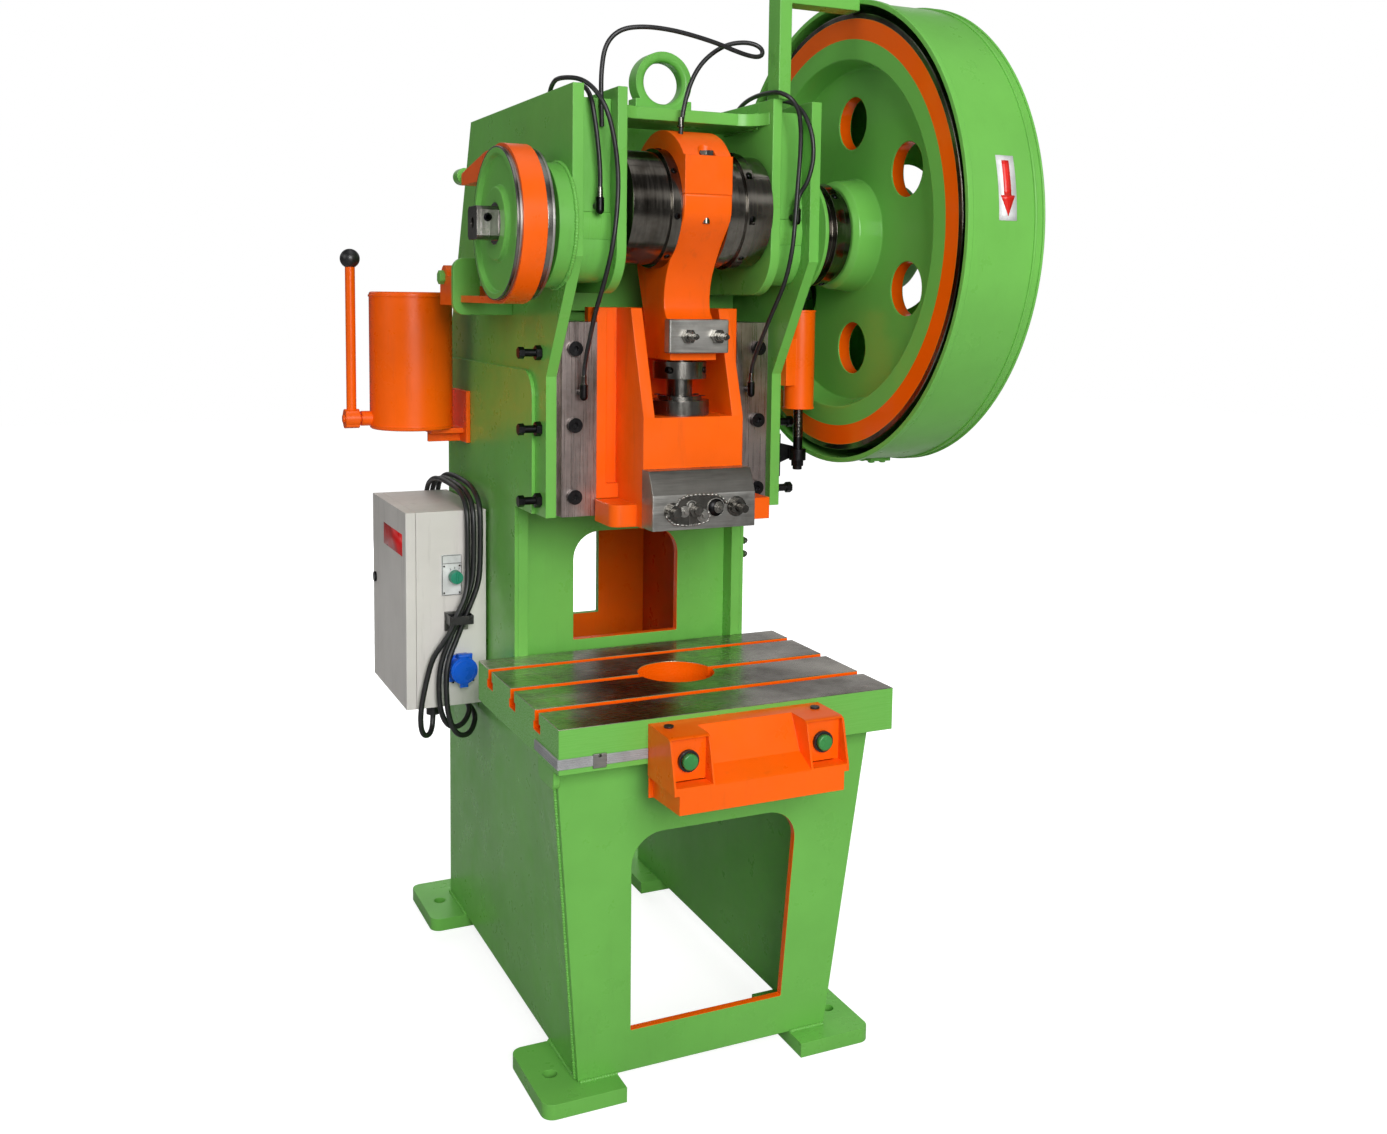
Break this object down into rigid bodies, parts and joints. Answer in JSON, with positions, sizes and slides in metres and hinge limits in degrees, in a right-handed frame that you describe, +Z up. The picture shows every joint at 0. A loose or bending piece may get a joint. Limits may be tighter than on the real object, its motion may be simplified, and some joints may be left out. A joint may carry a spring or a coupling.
{
  "type": "mechanical stamping press",
  "caption": "Open-front eccentric stamping press: welded frame, guarded flywheel, band brake, slide over a slotted bolster, two-hand control and electric box.",
  "frame": {"origin": "on the floor, at the centre of the four anchor holes", "axes": "+X to the operator's right, +Y to the back, +Z up"},
  "size_m": [1.075, 1.3115, 2.14],
  "materials": {
    "green_paint": "gloss",
    "orange_paint": "gloss",
    "machined_steel": "ground, lightly oiled",
    "dark_steel": "blackened, oiled",
    "black_steel": "black oxide",
    "cast_green": "painted",
    "cast_orange": "painted",
    "bronze": "turned",
    "grey_enamel": "powder coat",
    "grey_conduit": "ribbed",
    "green_button": "gloss",
    "teal_knob": "gloss",
    "white_plate": "printed plate",
    "blue_plastic": "gloss",
    "black_plastic": "gloss",
    "black_rubber": "smooth"
  },
  "bodies": {
    "frame": {"foot_plates": "green_paint", "side_plate_left": "green_paint", "side_plate_right": "green_paint", "cladding_plates": "green_paint", "base_front_plate": "green_paint", "throat_plate": "green_paint", "back_plate": "green_paint", "bolster": "machined_steel", "cheek_plates": "green_paint", "bearing_housing_left": "cast_green", "bearing_housing_right": "cast_green", "main_bushes": "bronze", "tie_plate": "green_paint", "lifting_eye": "cast_green", "guide_blocks": "machined_steel", "gib_plates": "machined_steel", "gib_bolts": "black_steel", "flywheel_guard": "green_paint", "guard_arm": "green_paint", "brake_bracket": "green_paint", "brake_band": "orange_paint", "brake_bolts": "green_paint", "oil_tank": "orange_paint", "tank_bracket": "orange_paint", "electric_box": "grey_enamel", "switch_plate": "white_plate", "power_socket": "blue_plastic", "control_box": "orange_paint", "plastic_trim": "black_plastic", "flat_conduit": "grey_conduit", "clutch_can": "orange_paint", "trip_bracket": "black_steel", "oil_fittings": "black_steel", "oil_hoses": "black_rubber", "cable_hank": "black_rubber", "cable_tie": "black_plastic"},
    "crankshaft": {"crankshaft": "dark_steel", "brake_drum": "cast_green", "clutch_collar": "dark_steel"},
    "sleeve": {"eccentric_sleeve": "dark_steel"},
    "ram": {"connecting_rod": "cast_orange", "rod_cap": "cast_orange", "rod_fasteners": "dark_steel", "clamp_plate": "machined_steel", "adjusting_screw": "dark_steel", "ball_seat_flange": "dark_steel", "slide": "cast_orange", "tool_clamp": "machined_steel", "tool_clamp_studs": "dark_steel", "rod_hose": "black_rubber"},
    "flywheel": {"flywheel": "cast_green"},
    "pump_lever": {"pump_lever": "orange_paint", "lever_ball": "black_plastic"},
    "door": {"box_door": "grey_enamel"},
    "door_lock": {"door_lock": "black_steel"},
    "switch_knob": {"switch_knob": "teal_knob"},
    "socket_lid": {"socket_lid": "blue_plastic"},
    "palm_button_left": {"palm_button_left": "green_button"},
    "palm_button_right": {"palm_button_right": "green_button"},
    "trip_rod": {"trip_rod": "black_steel"}
  },
  "joints": [
    {"name": "crank_turn", "type": "hinge", "parent": "frame", "child": "crankshaft", "pos_m": [0, -0.303, 1.664], "axis": [1, 0, 0], "continuous": true},
    {"name": "sleeve_turn", "type": "hinge", "parent": "crankshaft", "child": "sleeve", "pos_m": [0, -0.303, 1.684], "axis": [1, 0, 0], "continuous": true},
    {"name": "rod_level", "type": "hinge", "parent": "sleeve", "child": "ram", "pos_m": [0, -0.303, 1.704], "axis": [1, 0, 0], "continuous": true},
    {"name": "flywheel_turn", "type": "hinge", "parent": "crankshaft", "child": "flywheel", "pos_m": [0.42, -0.303, 1.664], "axis": [1, 0, 0], "continuous": true},
    {"name": "pump_lever_swing", "type": "hinge", "parent": "frame", "child": "pump_lever", "pos_m": [-0.531, 0.325, 1.247], "axis": [1, 0, 0], "range_deg": [-40, 40]},
    {"name": "door_swing", "type": "hinge", "parent": "frame", "child": "door", "pos_m": [-0.4536, 0.128, 0.835], "axis": [0, 0, 1], "range_deg": [0, 110]},
    {"name": "door_lock_turn", "type": "hinge", "parent": "door", "child": "door_lock", "pos_m": [-0.4566, 0.434, 0.857], "axis": [1, 0, 0], "range_deg": [0, 90]},
    {"name": "switch_turn", "type": "hinge", "parent": "frame", "child": "switch_knob", "pos_m": [-0.349, 0.119, 0.909], "axis": [0, 1, 0], "range_deg": [0, 90]},
    {"name": "socket_lid_swing", "type": "hinge", "parent": "frame", "child": "socket_lid", "pos_m": [-0.336, 0.094, 0.733], "axis": [-1, 0, 0], "range_deg": [0, 100]},
    {"name": "palm_press_left", "type": "slide", "parent": "frame", "child": "palm_button_left", "axis": [0, 1, 0], "range_m": [0, 0.006], "stiffness_N_per_m": 1500, "springref_m": -0.003},
    {"name": "palm_press_right", "type": "slide", "parent": "frame", "child": "palm_button_right", "axis": [0, 1, 0], "range_m": [0, 0.006], "stiffness_N_per_m": 1500, "springref_m": -0.003},
    {"name": "trip_rod_slide", "type": "slide", "parent": "frame", "child": "trip_rod", "axis": [0, 0, 1], "range_m": [-0.02, 0], "stiffness_N_per_m": 3000, "springref_m": 0.008}
  ],
  "couplings": [
    {"joint": "sleeve_turn", "follows": "crank_turn", "ratio": -2},
    {"joint": "rod_level", "follows": "crank_turn", "ratio": 1}
  ]
}
